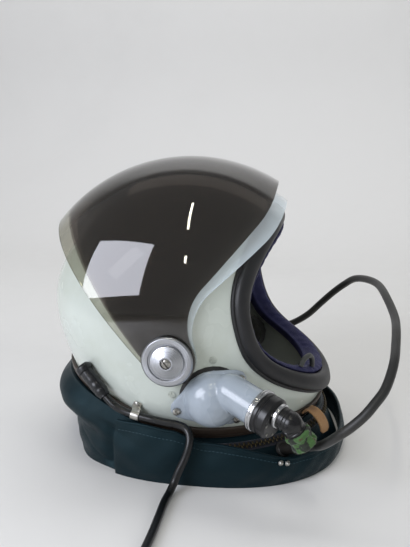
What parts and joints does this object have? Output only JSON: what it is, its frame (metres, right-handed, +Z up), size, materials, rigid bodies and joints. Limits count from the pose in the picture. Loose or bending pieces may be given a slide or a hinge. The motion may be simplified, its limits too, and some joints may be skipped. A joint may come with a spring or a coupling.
{
  "type": "flight helmet",
  "caption": "Pressure-type flight helmet with two hinged visors, a valve with a swivelling oxygen connector, a neck skirt with a zip, a visor hose and a coiled communication lead.",
  "frame": {"origin": "middle of the neck opening on the plane that the helmet stands on", "axes": "+X forwards out of the face, +Y to the wearer's left, +Z up to the crown"},
  "size_m": [0.3428, 0.4993, 0.29],
  "materials": {
    "shell_paint": "gloss",
    "neck_ring_rubber": "satin",
    "seal_rubber": "satin",
    "lining_cloth": "satin",
    "foam": "matte",
    "pad_leather": "matte",
    "dark_plastic": "matte",
    "cheek_cloth": "matte",
    "tube_rubber": "matte",
    "clear_visor": "gloss",
    "sun_visor": "gloss",
    "steel": "satin",
    "washer_plastic": "satin",
    "disc_aluminium": "satin",
    "painted_screw": "satin",
    "valve_paint": "gloss",
    "chrome": "polished",
    "black_plastic": "satin",
    "mouth_cloth": "matte",
    "gland_metal": "satin",
    "hose_rubber": "satin",
    "inlet_metal": "satin",
    "sleeve_rubber": "satin",
    "lead_rubber": "satin",
    "plug_metal": "satin",
    "skirt_cloth": "satin",
    "zip_brass": "satin",
    "tab_leather": "matte"
  },
  "bodies": {
    "helmet": {"outer_shell": "shell_paint", "neck_ring": "neck_ring_rubber", "face_seal": "seal_rubber", "face_lining": "lining_cloth", "foam_liner": "foam", "crown_pad": "pad_leather", "nape_pad": "pad_leather", "ear_cup_right": "dark_plastic", "ear_cup_left": "dark_plastic", "ear_cushion_right": "pad_leather", "ear_cushion_left": "pad_leather", "earphone_right": "dark_plastic", "earphone_left": "dark_plastic", "cheek_pad_right": "cheek_cloth", "cheek_pad_left": "cheek_cloth", "breathing_tube": "tube_rubber", "pivot_bushes": "steel", "inner_washers": "washer_plastic", "outer_washers": "washer_plastic", "pivot_nuts": "steel", "pivot_disc_right": "disc_aluminium", "pivot_disc_left": "disc_aluminium", "pivot_cap_right": "disc_aluminium", "pivot_cap_left": "disc_aluminium", "pivot_screws": "steel", "shell_screws": "painted_screw", "valve_gasket": "seal_rubber", "valve_housing": "valve_paint", "valve_diaphragm": "seal_rubber", "valve_screws": "steel", "outlet_ring": "chrome", "outlet_body": "black_plastic", "outlet_body_screws": "steel", "hose_gland": "gland_metal", "visor_hose": "hose_rubber", "hose_inlet": "inlet_metal", "lead_sleeve": "sleeve_rubber", "sleeve_cap": "sleeve_rubber", "lead": "lead_rubber", "lead_coil": "lead_rubber", "coil_tie": "black_plastic", "lead_tail": "lead_rubber", "lead_plug": "plug_metal", "plug_ring": "black_plastic", "lead_clip": "steel", "clip_screw": "steel", "neck_skirt": "skirt_cloth", "skirt_flap": "skirt_cloth", "zip_teeth": "zip_brass", "leather_tab": "tab_leather", "press_studs": "steel"},
    "sun_visor": {"sun_visor": "sun_visor"},
    "clear_visor": {"clear_visor": "clear_visor"},
    "swivel_connector": {"swivel_ring": "chrome", "swivel_elbow": "black_plastic", "connector_mouth": "mouth_cloth"},
    "zip_slider": {"zip_slider": "zip_brass"}
  },
  "joints": [
    {"name": "sun_visor_hinge", "type": "hinge", "parent": "helmet", "child": "sun_visor", "pos_m": [-0.01, 0, 0.12], "axis": [0, 1, 0], "range_deg": [0, 71]},
    {"name": "clear_visor_hinge", "type": "hinge", "parent": "helmet", "child": "clear_visor", "pos_m": [-0.01, 0, 0.12], "axis": [0, 1, 0], "range_deg": [0, 67]},
    {"name": "connector_swivel", "type": "hinge", "parent": "helmet", "child": "swivel_connector", "pos_m": [0.08535, -0.14934, 0.08506], "axis": [0.8199, -0.515, -0.25], "range_deg": [-40, 40]},
    {"name": "zip_slide", "type": "slide", "parent": "helmet", "child": "zip_slider", "axis": [-0.9311, 0.3605, 0.055], "range_m": [-0.01, 0.01]}
  ]
}
